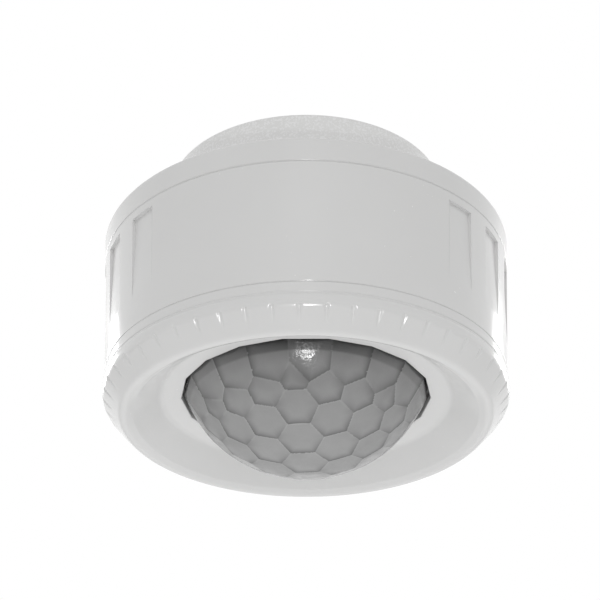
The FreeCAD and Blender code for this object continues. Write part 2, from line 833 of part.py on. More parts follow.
def make_main_housing():
    body = new_body("main_housing")
    turn_profile(body, "shell", [
        (seam_radius, seam),
        (crease_radius, crease),
        (skirt_radius, crease),
        (skirt_radius, skirt_bottom),
        (skirt_inner_radius, skirt_bottom),
        (skirt_inner_radius, crease),
        (lens_hole_radius, crease),
        (lens_hole_radius, chassis_top),
        (crease_inner_radius, chassis_top),
        (seam_inner_radius, seam),
    ])
    flute_foot = size.flute_top + size.flute_length
    slope = size.housing_draft / size.housing_height
    outer_at_top = seam_radius - size.flute_top * slope
    outer_at_foot = seam_radius - flute_foot * slope
    flute_beyond = size.flute_depth
    first_azimuth = size.flute_turn - (size.flute_count - 1) * size.flute_pitch / 2
    for side, name in ((0, "right"), (180, "left")):
        flute = turn_profile(body, name + "_flute", [
            (seam_radius + flute_beyond, seam - size.flute_top),
            (outer_at_top - size.flute_depth, seam - size.flute_top),
            (outer_at_foot, seam - flute_foot),
            (seam_radius + flute_beyond, seam - flute_foot),
        ], kind="Groove", sweep=size.flute_sweep, azimuth=first_azimuth + side)
        pattern_about_z(body, flute, size.flute_count, (size.flute_count - 1) * size.flute_pitch)
    posts = new_sketch(body, "posts", "XY_Plane", level=chassis_top)
    for x, y in post_places:
        draw_circle(posts, (x, y), size.post_radius)
    raise_sketch(body, posts, "Pad", sensor_bottom - chassis_top)
    necks = new_sketch(body, "post_necks", "XY_Plane", level=sensor_bottom)
    for x, y in post_places:
        draw_circle(necks, (x, y), size.post_neck_radius)
    raise_sketch(body, necks, "Pad", neck_top - sensor_bottom)
    pilots = new_sketch(body, "post_pilots", "XY_Plane", level=neck_top)
    for x, y in post_places:
        draw_circle(pilots, (x, y), size.screw_radius + size.seat_clearance)
    raise_sketch(body, pilots, "Pocket", size.screw_length, downward=True)
    seats = new_sketch(body, "retainer_pilots", "XY_Plane", level=chassis_top)
    for x, y in retainer_places:
        draw_circle(seats, (x, y), size.small_screw_radius)
    raise_sketch(body, seats, "Pocket", size.small_screw_bite, downward=True)
    holes = new_sketch(body, "control_holes", "XY_Plane", level=chassis_top)
    for x, y in dial_places:
        draw_circle(holes, (x, y), size.dial_stem_radius + size.hole_clearance)
    draw_circle(holes, button_place, size.button_radius + size.hole_clearance)
    raise_sketch(body, holes, "Pocket", size.chassis_floor, downward=True)
    play = size.key_clearance
    run_sweep = size.key_sweep + size.bezel_twist + 2 * size.key_play_sweep
    run = turn_profile(body, "key_run", [
        (skirt_inner_radius - play, key_top + play),
        (skirt_radius + play / 2, key_top + play),
        (skirt_radius + play / 2, key_bottom - play),
        (skirt_inner_radius - play, key_bottom - play),
    ], kind="Groove", sweep=run_sweep, azimuth=size.bezel_twist / 2)
    pattern_about_z(body, run, KEY_COUNT)
    entry = turn_profile(body, "key_entry", [
        (skirt_inner_radius - play, key_bottom),
        (skirt_radius + play / 2, key_bottom),
        (skirt_radius + play / 2, skirt_bottom - play),
        (skirt_inner_radius - play, skirt_bottom - play),
    ], kind="Groove", sweep=size.key_sweep + 2 * size.key_play_sweep, azimuth=size.bezel_twist)
    pattern_about_z(body, entry, KEY_COUNT)
    fillet_circles(body, "housing_edges", size.seam_chamfer,
                   [(seam_radius, seam), (crease_radius, crease)], kind="Chamfer")
    return body


# Bezel ring

rim_level = bezel_top - size.rim_drop
dish_level = rim_level - size.rim_fall
brow_level = dish_level - size.dish_width * tangent(size.dish_angle)
crest_level = brow_level - size.crest_width * tangent(size.crest_angle)
corner_level = crest_level + (bezel_radius - crest_radius) * tangent(size.chamfer_angle)
lip_bottom = bezel_top - size.lip_height


def inner_corner(radius, level, wall, fall_before, fall_after):
    """The corner inside an outer one, where the wall keeps its thickness. Falls are slopes outwards."""
    shift = wall * (cosine(fall_after) - cosine(fall_before)) / sine(fall_before - fall_after)
    rise = (wall - shift * sine(fall_before)) / cosine(fall_before)
    return radius + shift, level + rise


def make_bezel_ring():
    body = new_body("bezel_ring")
    wall = size.bezel_wall
    inner_dish = inner_corner(dish_radius, dish_level, wall, as_term(0), size.dish_angle)
    inner_brow = inner_corner(brow_radius, brow_level, wall, size.dish_angle, size.crest_angle)
    inner_crest = inner_corner(crest_radius, crest_level, wall, size.crest_angle, -size.chamfer_angle)
    corner_rise = wall * (1 - sine(size.chamfer_angle)) / cosine(size.chamfer_angle)
    bore = opening_radius * cosine(facet_half) - wall
    turn_profile(body, "ring", [
        (lip_radius, bezel_top),
        (lip_radius, lip_bottom),
        (bezel_radius, lip_bottom - size.lip_height),
        (bezel_radius, corner_level),
        (crest_radius, crest_level),
        (brow_radius, brow_level),
        (dish_radius, dish_level),
        (bore, rim_level),
        (bore, rim_level + wall),
        inner_dish,
        inner_brow,
        inner_crest,
        (bezel_radius - wall, corner_level + corner_rise),
        (bezel_radius - wall, lip_bottom - size.lip_height),
        (lip_radius - wall, lip_bottom),
        (lip_radius - wall, bezel_top),
    ])
    fillet_circles(body, "crest", size.crest_round, [(crest_radius, crest_level)])
    fillet_circles(body, "corner", size.corner_round, [(bezel_radius, corner_level)])
    fillet_circles(body, "brow", size.brow_round, [(brow_radius, brow_level)])
    fillet_circles(body, "dish", size.dish_round, [(dish_radius, dish_level)])
    fillet_circles(body, "cavity", size.cavity_round, [inner_crest])
    opening = new_sketch(body, "opening", "XY_Plane", level=rim_level + 2 * wall)
    corners = []
    for number in range(int(size.opening_sides.value)):
        angle = 270 + size.opening_turn + number * 2 * facet_half
        corners.append(on_circle(opening_radius, angle))
    draw_polygon(opening, corners)
    raise_sketch(body, opening, "Pocket", 4 * wall, downward=True)
    key = turn_profile(body, "key", [
        (lip_radius - wall / 2, key_top),
        (skirt_radius + size.key_clearance - size.key_reach, key_top),
        (skirt_radius + size.key_clearance - size.key_reach, key_bottom),
        (lip_radius - wall / 2, key_bottom),
    ], sweep=size.key_sweep)
    pattern_about_z(body, key, KEY_COUNT)
    across = size.notch_depth * sine(size.chamfer_angle)
    along = size.notch_depth * cosine(size.chamfer_angle)
    run_r = cosine(size.chamfer_angle)
    run_z = sine(size.chamfer_angle)
    start_r = bezel_radius - size.notch_start * run_r
    start_z = corner_level - size.notch_start * run_z
    end_r = start_r - size.notch_length * run_r
    end_z = start_z - size.notch_length * run_z
    notch_sweep = size.notch_width / bezel_radius * (180 / math.pi)
    notch = turn_profile(body, "notch", [
        (start_r + 3 * across, start_z - 3 * along),
        (start_r - across, start_z + along),
        (end_r, end_z),
        (end_r + 3 * across, end_z - 3 * along),
    ], kind="Groove", sweep=notch_sweep)
    pattern_about_z(body, notch, size.notch_count)
    return body


# Lens dome

def lens_cells():
    """Directions of the honeycomb cells: tilt from straight down, and azimuth from -Y towards +X."""
    pitch = size.cell_pitch.value
    limit = size.cell_limit.value
    row_pitch = pitch * math.sin(math.radians(60))
    rows = math.ceil(limit / row_pitch)
    steps = range(-2 * rows, 2 * rows + 1)
    cells = []
    for row in range(-rows, rows + 1):
        for step in steps:
            forward = size.cell_shift.value + pitch * (step + row / 2)
            reach = math.hypot(forward, row * row_pitch)
            if reach <= limit:
                tilt = reach - reach ** 3 / size.cell_spread.value ** 2
                azimuth = math.degrees(math.atan2(row * row_pitch, forward)) - size.lens_turn.value
                cells.append((tilt, azimuth))
    return cells


def make_lens_dome():
    """A polyhedral shell. Each cell is a flat facet that touches one sphere."""
    radius = lens_radius.value
    wall = size.lens_wall.value
    centre = FreeCAD.Vector(0, 0, lens_centre.value)
    corner = lens_corner_radius.value
    top = flange_top.value
    corners = []
    for number in range(int(size.opening_sides.value)):
        angle = math.radians(270 + size.skirt_turn.value + 2 * facet_half.value * number)
        corners.append(FreeCAD.Vector(corner * math.cos(angle), corner * math.sin(angle), top))
    outline = Part.makePolygon(corners + corners[:1])
    block = Part.Face(outline).extrude(FreeCAD.Vector(0, 0, lens_apex.value - top - wall))
    reach = 2 * radius
    for tilt, azimuth in lens_cells():
        lean = math.radians(tilt)
        around = math.radians(azimuth)
        direction = FreeCAD.Vector(math.sin(lean) * math.sin(around),
                                   -math.sin(lean) * math.cos(around), -math.cos(lean))
        slab = Part.makeBox(reach, reach, reach, FreeCAD.Vector(-reach / 2, -reach / 2, 0))
        slab.Placement = FreeCAD.Placement(centre + direction * radius,
                                           FreeCAD.Rotation(FreeCAD.Vector(0, 0, 1), direction))
        block = block.cut(slab)
    flange = Part.makeCylinder(flange_radius.value, size.lens_flange_thickness.value,
                               FreeCAD.Vector(0, 0, chassis_top.value))
    hollow = Part.makeSphere(radius - wall, centre)
    bore_radius = lens_skirt_radius.value - wall
    bore_level = lens_centre.value - math.sqrt((radius - wall) ** 2 - bore_radius ** 2)
    bore = Part.makeCylinder(bore_radius, top - bore_level + wall, FreeCAD.Vector(0, 0, bore_level))
    ceiling_cut = Part.makeBox(reach, reach, reach, FreeCAD.Vector(-reach / 2, -reach / 2, bore_level))
    hollow = hollow.cut(ceiling_cut).fuse(bore)
    target = doc.addObject("Part::Feature", "lens_dome")
    target.Shape = block.fuse(flange).cut(hollow)
    return finish(target, "lens_dome")


def make_lens_retainer():
    body = new_body("lens_retainer")
    slack = size.fit_clearance
    turn_profile(body, "clamp", [
        (lens_skirt_radius, flange_top),
        (lens_skirt_radius, flange_top + size.retainer_thickness),
        (retainer_radius, flange_top + size.retainer_thickness),
        (retainer_radius, chassis_top),
        (flange_radius + slack, chassis_top),
        (flange_radius + slack, flange_top),
    ])
    holes = new_sketch(body, "clamp_holes", "XY_Plane", level=flange_top + size.retainer_thickness)
    for x, y in retainer_places:
        draw_circle(holes, (x, y), size.small_screw_radius + slack)
    raise_sketch(body, holes, "Pocket", size.retainer_thickness + size.lens_flange_thickness, downward=True)
    face = flange_top + size.retainer_thickness
    length = face - chassis_top + size.small_screw_bite - size.screw_end_gap
    screws = [small_screw("retainer_screw_%d" % number, x, y, face, length)
              for number, (x, y) in enumerate(retainer_places)]
    finish(gather("retainer_screws", screws), "retainer_screws")
    return body


# Fasteners and boards of the head

def make_housing_screws():
    screws = []
    head_z = shoulder - size.screw_head_height
    for number, (x, y) in enumerate(post_places):
        shank = new_cylinder("housing_shank_%d" % number, size.screw_radius, size.screw_length, x, y,
                             head_z - size.screw_length + size.seat_clearance)
        head = new_cylinder("housing_head_%d" % number, size.screw_head_radius,
                            size.screw_head_height - size.seat_clearance, x, y, head_z)
        slots = []
        arms = ((size.cross_length, size.cross_width), (size.cross_width, size.cross_length))
        for turn, (length, width) in enumerate(arms):
            slots.append(new_box("cross_%d_%d" % (number, turn), length, width, size.screw_head_height,
                                 x, y, head_z + size.screw_head_height / 2))
        screws.append(take_away("housing_screw_%d" % number, join("housing_blank_%d" % number, shank, head),
                                *slots))
    finish(gather("housing_screws", screws), "housing_screws")


def make_boards():
    slack = size.board_hole_clearance
    power = new_body("power_board")
    disc = new_sketch(power, "power_disc", "XY_Plane", level=power_bottom)
    draw_circle(disc, (0, 0), board_radius)
    for x, y in post_places:
        draw_circle(disc, (x, y), size.screw_radius + slack)
    for x in terminal_places:
        draw_circle(disc, (x, pad_y), size.stem_radius + size.seat_clearance)
    raise_sketch(power, disc, "Pad", size.board_thickness)
    sensor = new_body("sensor_board")
    disc = new_sketch(sensor, "sensor_disc", "XY_Plane", level=sensor_bottom)
    draw_circle(disc, (0, 0), board_radius)
    for x, y in post_places:
        draw_circle(disc, (x, y), size.post_neck_radius + slack)
    for angle in lead_angles:
        draw_circle(disc, on_circle(size.lead_ring_radius, angle), size.lead_radius + size.seat_clearance)
    raise_sketch(sensor, disc, "Pad", size.board_thickness)
    spacers = []
    for number, (x, y) in enumerate(post_places):
        bore = size.post_neck_radius + size.seat_clearance
        outer = new_cylinder("spacer_outer_%d" % number, size.post_neck_radius + size.spacer_wall,
                             board_gap, x, y, sensor_top)
        inner = new_cylinder("spacer_inner_%d" % number, bore, board_gap, x, y, sensor_top)
        spacers.append(take_away("spacer_%d" % number, outer, inner))
    finish(gather("board_spacers", spacers), "board_spacers")


# Parts on the power board, which hang under it

def hang(name, length, width, height, x, y):
    """A box under the power board."""
    return new_box(name, length, width, height, x, y, power_bottom - height)


def make_power_parts():
    relay = hang("relay_case", size.relay_length, size.relay_width, size.relay_height,
                 size.relay_x, block_offset + size.relay_setback)
    finish(relay, "relay")
    film = hang("film_case", size.film_length, size.film_width, size.film_height,
                size.film_x, block_offset + size.film_setback)
    finish(film, "film_capacitor")
    groove = doc.addObject("Part::Torus", "can_groove")
    bind(groove, "Radius1", size.can_radius + size.can_groove / 2)
    bind(groove, "Radius2", size.can_groove)
    place(groove, size.can_x, size.can_y, power_bottom - size.can_groove_drop)
    can = new_cylinder("can", size.can_radius, size.can_height, size.can_x, size.can_y,
                       power_bottom - size.can_height)
    finish(take_away("reservoir_capacitor", can, groove), "reservoir_capacitor")
    disc = lay_along_y("varistor_disc", size.varistor_radius, size.varistor_thickness,
                       size.varistor_x, size.varistor_y, power_bottom - size.varistor_radius)
    finish(disc, "varistor")
    fuse_z = power_bottom - size.fuse_radius
    tube = lay_along_x("fuse_tube", size.fuse_radius - size.fuse_step, size.fuse_length,
                       0, size.fuse_y, fuse_z)
    caps = [lay_along_x(name, size.fuse_radius, size.fuse_cap,
                        side * (size.fuse_length - size.fuse_cap) / 2, size.fuse_y, fuse_z)
            for side, name in ((-1, "fuse_left_cap"), (1, "fuse_right_cap"))]
    finish(join("fuse", tube, *caps), "fuse")
    choke_bottom = power_bottom - size.choke_height
    choke_y = size.choke_margin - board_radius
    waist = new_cylinder("choke_core", size.choke_radius - size.choke_waist, size.choke_height,
                         0, choke_y, choke_bottom)
    upper = new_cylinder("choke_upper", size.choke_radius, size.choke_flange,
                         0, choke_y, power_bottom - size.choke_flange)
    lower = new_cylinder("choke_lower", size.choke_radius, size.choke_flange, 0, choke_y, choke_bottom)
    finish(join("choke", waist, upper, lower), "choke")
    bridge = hang("bridge_case", size.bridge_length, size.bridge_width, size.bridge_height,
                  size.bridge_x, size.bridge_y)
    finish(bridge, "bridge_rectifier")


# Parts on the sensor board

def make_pyro_sensor():
    flange_z = sensor_bottom - (size.focus_height - size.pyro_can_height)
    holder = new_body("sensor_holder")
    flange_room = size.pyro_flange_radius + size.fit_clearance
    turn_profile(holder, "holder", [
        (flange_room - size.holder_lip, sensor_bottom),
        (flange_room + size.holder_wall, sensor_bottom),
        (flange_room + size.holder_wall, flange_z - size.holder_skirt),
        (flange_room, flange_z - size.holder_skirt),
        (flange_room, flange_z),
        (flange_room - size.holder_lip, flange_z),
    ])
    can = new_body("pir_can")
    face = flange_z - size.pyro_can_height
    turn_profile(can, "can", [
        (0, flange_z),
        (size.pyro_flange_radius, flange_z),
        (size.pyro_flange_radius, flange_z - size.pyro_flange_height),
        (size.pyro_can_radius, flange_z - size.pyro_flange_height),
        (size.pyro_can_radius, face),
        (0, face),
    ])
    frame = new_sketch(can, "window_frame", "XY_Plane", level=face)
    half_length = size.pyro_window_length / 2
    half_width = size.pyro_window_width / 2
    draw_polygon(frame, [
        (-half_length, -half_width),
        (half_length, -half_width),
        (half_length, half_width),
        (-half_length, half_width),
    ])
    raise_sketch(can, frame, "Pocket", size.pyro_window_depth)
    window = new_box("window_plate", size.pyro_window_length - 2 * size.seat_clearance,
                     size.pyro_window_width - 2 * size.seat_clearance, size.pyro_window_depth, 0, 0, face)
    finish(window, "pir_window")
    leads = []
    for number, angle in enumerate(lead_angles):
        x, y = on_circle(size.lead_ring_radius, angle)
        lead_length = sensor_top - flange_z + size.lead_tail
        leads.append(new_cylinder("lead_%d" % number, size.lead_radius, lead_length, x, y, flange_z))
    finish(gather("pir_leads", leads), "pir_leads")


def bulb(name, radius, height, x, y):
    """A round-nosed lamp or sensor body under the sensor board."""
    barrel = new_cylinder(name + "_barrel", radius, height, x, y, sensor_bottom - height)
    nose = doc.addObject("Part::Sphere", name + "_nose")
    bind(nose, "Radius", radius)
    place(nose, x, y, sensor_bottom - height)
    collar = new_cylinder(name + "_collar", radius + size.led_collar, size.led_collar_height,
                          x, y, sensor_bottom - size.led_collar_height)
    return join(name, barrel, nose, collar)


def make_sensor_parts():
    eye = bulb("light_sensor", size.photo_radius, size.photo_height, size.indicator_x, size.indicator_y)
    finish(eye, "light_sensor")
    lamp = bulb("status_led", size.led_radius, size.led_height, -size.indicator_x, size.indicator_y)
    finish(lamp, "status_led")
    x = size.header_x
    y = size.header_y
    strips = [
        new_box("header_foot", size.header_length, size.header_width, size.header_height, x, y, sensor_top),
        new_box("header_head", size.header_length, size.header_width, size.header_height, x, y,
                power_bottom - size.header_height),
    ]
    for step in (-1.5, -0.5, 0.5, 1.5):
        strips.append(new_box("header_pin_%d" % int(2 * step + 3), size.header_pin, size.header_pin,
                              board_gap, x + step * size.header_pitch, y, sensor_top))
    finish(join("pin_header", *strips), "pin_header")
    controller = new_box("controller", size.controller_length, size.controller_width,
                         size.controller_height, size.controller_x, size.controller_y, sensor_top)
    finish(controller, "controller_chip")
    amplifier = new_box("amplifier", size.amplifier_length, size.amplifier_width,
                        size.amplifier_height, size.amplifier_x, size.amplifier_y, sensor_top)
    finish(amplifier, "amplifier_chip")
    barrel = new_cylinder("regulator_barrel", size.regulator_radius, size.regulator_height,
                          size.regulator_x, size.regulator_y, sensor_top)
    flat_y = size.regulator_y + size.regulator_flat + size.regulator_radius / 2
    flat = new_box("regulator_face", 3 * size.regulator_radius, size.regulator_radius,
                   size.regulator_height, size.regulator_x, flat_y, sensor_top)
    finish(take_away("regulator", barrel, flat), "regulator")


# Controls under the bezel

def make_dials():
    body_z = sensor_bottom - size.trimmer_height
    stem_top = body_z + size.trimmer_bite
    knob_top = crease - size.dial_gap
    for name, (x, y), angle in zip(DIAL_NAMES, dial_places, dial_angles):
        case = new_box(name + "_case", size.trimmer_width, size.trimmer_width, size.trimmer_height,
                       x, y, body_z)
        bore = new_cylinder(name + "_bore", size.dial_stem_radius + size.running_clearance,
                            size.trimmer_bite + size.running_clearance, x, y, body_z)
        finish(take_away(name + "_trimmer", case, bore), name + "_trimmer")
        stem = new_cylinder(name + "_stem", size.dial_stem_radius, stem_top - knob_top, x, y, knob_top)
        knob = new_cylinder(name + "_knob", size.dial_radius, size.dial_height, x, y,
                            knob_top - size.dial_height)
        slot = new_box(name + "_slot", 3 * size.dial_radius, size.dial_slot_width, size.dial_slot_depth,
                       x, y, knob_top - size.dial_height)
        finish(take_away(name + "_dial", join(name + "_dial_blank", stem, knob), slot), name + "_dial")


def make_button():
    x, y = button_place
    case_z = sensor_bottom - size.switch_height
    plunger_z = case_z - size.plunger_stand
    case = new_box("switch_case", size.switch_width, size.switch_width, size.switch_height, x, y, case_z)
    well = new_cylinder("switch_well", size.plunger_radius + size.running_clearance,
                        size.plunger_bite + size.button_travel + size.running_clearance, x, y, case_z)
    finish(take_away("test_switch", case, well), "test_switch")
    plunger = new_cylinder("plunger", size.plunger_radius, size.plunger_stand + size.plunger_bite,
                           x, y, plunger_z)
    finish(plunger, "switch_plunger")
    collar_z = chassis_top + size.dial_gap
    tip_z = crease - size.button_stand
    cap = new_cylinder("button_cap", size.button_radius, collar_z - tip_z, x, y, tip_z)
    collar = new_cylinder("button_collar", size.button_radius + size.button_collar,
                          size.button_collar_height, x, y, collar_z)
    stem = new_cylinder("button_stem", size.button_stem_radius, plunger_z - collar_z, x, y, collar_z)
    finish(join("test_button", cap, collar, stem), "test_button")


make_mounting_base()
make_cable_grommet()
make_terminals()
make_block_screws()
make_contacts()
make_rear_cover()
make_main_housing()
make_bezel_ring()
make_lens_dome()
make_lens_retainer()
make_housing_screws()
make_boards()
make_power_parts()
make_pyro_sensor()
make_sensor_parts()
make_dials()
make_button()
doc.recompute()

for item in doc.Objects:
    if "Invalid" in item.State or "Error" in item.State:
        raise RuntimeError("%s failed: %s" % (item.Name, item.State))
os.makedirs("parts", exist_ok=True)
for item in sub_parts:
    if item.Shape.isNull() or not item.Shape.isValid():
        raise RuntimeError(item.Label + " has no valid shape")
    item.Shape.exportStep("parts/%s.step" % item.Label)
    print("%-24s %2d solids %10.1f mm3" % (item.Label, len(item.Shape.Solids), item.Shape.Volume))
print(len(sub_parts), "sub-parts")
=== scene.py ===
import math

import bmesh
import bpy
import numpy as np
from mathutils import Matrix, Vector


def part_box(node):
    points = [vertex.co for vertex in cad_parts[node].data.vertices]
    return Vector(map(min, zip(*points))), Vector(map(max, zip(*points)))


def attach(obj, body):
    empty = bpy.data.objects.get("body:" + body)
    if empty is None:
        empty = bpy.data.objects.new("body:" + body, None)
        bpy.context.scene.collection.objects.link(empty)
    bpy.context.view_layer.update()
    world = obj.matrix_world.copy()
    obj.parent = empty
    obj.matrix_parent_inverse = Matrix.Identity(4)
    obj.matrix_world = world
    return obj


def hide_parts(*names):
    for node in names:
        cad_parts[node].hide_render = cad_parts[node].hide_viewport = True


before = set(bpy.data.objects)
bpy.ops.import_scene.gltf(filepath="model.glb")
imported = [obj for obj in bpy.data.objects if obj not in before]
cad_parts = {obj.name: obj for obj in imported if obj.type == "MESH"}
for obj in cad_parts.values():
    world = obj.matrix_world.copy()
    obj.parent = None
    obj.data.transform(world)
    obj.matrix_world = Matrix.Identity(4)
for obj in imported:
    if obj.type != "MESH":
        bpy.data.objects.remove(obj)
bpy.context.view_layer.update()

# The looks of a ceiling-mounted PIR motion sensor. bezel_shell and lens_shell are finer meshes of the CAD's
# bezel_ring and lens_dome. Every other piece keeps its CAD mesh and gets a material. Lengths are in
# millimetres until make_object scales them, and in metres for the camera, lamps, floor and materials.

MM = 0.001


# Places that come from the frame

def node_box(name):
    """The lowest and highest corner of a CAD node in millimetres."""
    low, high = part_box(name)
    return low / MM, high / MM


base_low, _ = node_box("mounting_base")
_, bezel_high = node_box("bezel_ring")
_, dome_high = node_box("lens_dome")

COLLAR_HEIGHT = 6.25
HOUSING_HEIGHT = 30.4
TWIST_GAP = 0.3
CREASE_GAP = 0.04
SEAM = base_low.z - TWIST_GAP - COLLAR_HEIGHT
CREASE = SEAM - HOUSING_HEIGHT
BEZEL_TOP = CREASE - CREASE_GAP
RIM_DROP = 3.7
RIM = bezel_high.z - RIM_DROP


# Meshes

LONGEST_ARC = 0.49  # the most that a round corner takes of a side, so that two of them fit on it
STRAIGHT_ON = math.radians(89.5)


def arc_corner(before, corner, after, radius, steps):
    """Points of a round corner, as an arc that touches both sides."""
    corner = np.array(corner, float)
    one = np.array(before, float) - corner
    two = np.array(after, float) - corner
    reach = min(np.linalg.norm(one), np.linalg.norm(two)) * LONGEST_ARC
    one /= np.linalg.norm(one)
    two /= np.linalg.norm(two)
    half = math.acos(max(-1.0, min(1.0, float(one @ two)))) / 2
    if radius <= 0 or half > STRAIGHT_ON:
        return [tuple(corner)]
    length = min(radius / math.tan(half), reach)
    radius = length * math.tan(half)
    middle = (one + two) / np.linalg.norm(one + two)
    centre = corner + middle * radius / math.sin(half)
    start = corner + one * length - centre
    end = corner + two * length - centre
    turn = math.atan2(start[0] * end[1] - start[1] * end[0], float(start @ end))
    points = []
    for step in range(steps + 1):
        angle = turn * step / steps
        c, s = math.cos(angle), math.sin(angle)
        points.append((centre[0] + start[0] * c - start[1] * s, centre[1] + start[0] * s + start[1] * c))
    return points


def rounded_loop(corners, spacing, steps):
    """A closed section from (radius, height, corner radius), with points along its straight runs."""
    count = len(corners)
    arcs = []
    for index, (r, z, round_radius) in enumerate(corners):
        before = corners[index - 1][:2]
        after = corners[(index + 1) % count][:2]
        arcs.append(arc_corner(before, (r, z), after, round_radius, steps))
    points = []
    for index, arc in enumerate(arcs):
        points.extend(arc)
        start = np.array(arc[-1])
        end = np.array(arcs[(index + 1) % count][0])
        pieces = int(np.linalg.norm(end - start) / spacing)
        for step in range(1, pieces + 1):
            points.append(tuple(start + (end - start) * step / (pieces + 1)))
    return np.array(points)


def make_object(name, vertices, faces, material, sharp):
    """A closed mesh object from millimetre points, smooth apart from edges over sharp degrees."""
    mesh = bpy.data.meshes.new(name)
    mesh.from_pydata([tuple(v) for v in np.asarray(vertices, float) * MM], [], faces)
    mesh.validate()
    turn_outwards(mesh)
    mesh.update()
    mesh.shade_smooth()
    mesh.set_sharp_from_angle(angle=math.radians(sharp))
    thing = bpy.data.objects.new(name, mesh)
    bpy.context.scene.collection.objects.link(thing)
    mesh.materials.append(material)
    return thing


def turn_outwards(mesh):
    """Turn the faces of a closed mesh round if its volume is negative."""
    work = bmesh.new()
    work.from_mesh(mesh)
    if work.calc_volume(signed=True) < 0:
        bmesh.ops.reverse_faces(work, faces=work.faces)
        work.to_mesh(mesh)
    work.free()


def turned(name, section, segments, material, shape, sharp):
    """A ring turned from a closed section. shape(r, z, angle) moves the points of one step."""
    count = len(section)
    vertices = np.zeros((segments, count, 3))
    for step in range(segments):
        angle = 2 * math.pi * step / segments
        r, z = shape(section[:, 0], section[:, 1], angle)
        vertices[step, :, 0] = r * math.cos(angle)
        vertices[step, :, 1] = r * math.sin(angle)
        vertices[step, :, 2] = z
    faces = []
    for step in range(segments):
        here = step * count
        following = (step + 1) % segments * count
        for index in range(count):
            above = (index + 1) % count
            faces.append((here + index, following + index, following + above, here + above))
    return make_object(name, vertices.reshape(-1, 3), faces, material, sharp)


def smooth_step(low, high, value):
    """A share that rises from 0 at low to 1 at high, level at both ends."""
    share = np.clip((value - low) / (high - low), 0, 1)
    return share * share * (3 - 2 * share)


# Materials

BUMP_DISTANCE = 0.0002
BEVEL_SAMPLES = 8
PATCH_STOPS = (0.3, 0.7)  # the noise values between which a patch goes from one value to the other


def rgba(value):
    """A node's colour from three numbers, or a grey one from a single number."""
    return (*value, 1) if isinstance(value, tuple) else (value, value, value, 1)


class Look:
    """A new material, and what its nodes can add to it."""

    def __init__(self, name):
        self.material = bpy.data.materials.new(name)
        self.material.use_nodes = True
        self.nodes = self.material.node_tree.nodes
        self.links = self.material.node_tree.links
        self.shader = self.nodes["Principled BSDF"]
        self.place = self.nodes.new("ShaderNodeTexCoord").outputs["Object"]

    def feed(self, name, source):
        """Link a source to an input of the shader."""
        self.links.new(source, self.shader.inputs[name])

    def noise(self, scale, detail, roughness=0.5):
        texture = self.nodes.new("ShaderNodeTexNoise")
        texture.inputs["Scale"].default_value = scale
        texture.inputs["Detail"].default_value = detail
        texture.inputs["Roughness"].default_value = roughness
        self.links.new(self.place, texture.inputs["Vector"])
        return texture.outputs["Fac"]

    def ramp(self, factor, stops):
        """Colours or greys over a factor, from (position, value) stops."""
        element = self.nodes.new("ShaderNodeValToRGB")
        self.links.new(factor, element.inputs["Fac"])
        points = element.color_ramp.elements
        while len(points) < len(stops):
            points.new(0.5)
        for point, (position, value) in zip(points, stops):
            point.position = position
            point.color = rgba(value)
        return element.outputs["Color"]

    def patches(self, scale, detail, values):
        """Patches that go over from the first value to the second."""
        return self.ramp(self.noise(scale, detail), list(zip(PATCH_STOPS, values)))

    def mix_towards(self, share, colour, other):
        """A colour that goes over to another, fixed one by a share."""
        mix = self.nodes.new("ShaderNodeMix")
        mix.data_type = "RGBA"
        self.links.new(share, mix.inputs["Factor"])
        self.links.new(colour, mix.inputs["A"])
        mix.inputs["B"].default_value = rgba(other)
        return mix.outputs["Result"]

    def multiply(self, one, two):
        mix = self.nodes.new("ShaderNodeMix")
        mix.data_type = "RGBA"
        mix.blend_type = "MULTIPLY"
        mix.inputs["Factor"].default_value = 1.0
        self.links.new(one, mix.inputs["A"])
        self.links.new(two, mix.inputs["B"])
        return mix.outputs["Result"]

    def mesh_value(self, name):
        """The value that the mesh keeps for each point under a name."""
        value = self.nodes.new("ShaderNodeAttribute")
        value.attribute_name = name
        return value.outputs["Fac"]

    def bump(self, height, strength, edge=0.0):
        """A bump from a height, over edges that look rounded by the given radius in metres."""
        bump = self.nodes.new("ShaderNodeBump")
        if edge:
            bevel = self.nodes.new("ShaderNodeBevel")
            bevel.samples = BEVEL_SAMPLES
            bevel.inputs["Radius"].default_value = edge
            self.links.new(bevel.outputs["Normal"], bump.inputs["Normal"])
        bump.inputs["Strength"].default_value = strength
        bump.inputs["Distance"].default_value = BUMP_DISTANCE
        self.links.new(height, bump.inputs["Height"])
        self.feed("Normal", bump.outputs["Normal"])


def surface(name, dark, light, rough, grain=900.0, bump=0.05, patch=25.0, specks=None, edge=0.0, **inputs):
    """A plain material with patchy colour, patchy roughness, a fine grain and dust if there are specks.

    Further inputs of the shader are given by name, with _ for a space.
    """
    look = Look(name)
    colour = look.patches(patch, detail=5.0, values=(dark, light))
    if specks:
        spots = look.noise(specks["scale"], detail=2.0, roughness=0.6)
        mask = look.ramp(spots, [(specks["from"], 0.0), (specks["to"], 1.0)])
        colour = look.mix_towards(mask, colour, specks["colour"])
    look.feed("Base Color", colour)
    look.feed("Roughness", look.patches(patch * 3, detail=3.0, values=rough))
    look.bump(look.noise(grain, detail=2.0), bump, edge)
    for key, value in inputs.items():
        look.shader.inputs[key.replace("_", " ")].default_value = value
    return look.material


DUST = {"scale": 900.0, "from": 0.75, "to": 0.77, "colour": 0.95}
NECK_DUST = {"scale": 1800.0, "from": 0.52, "to": 0.56, "colour": 0.93}

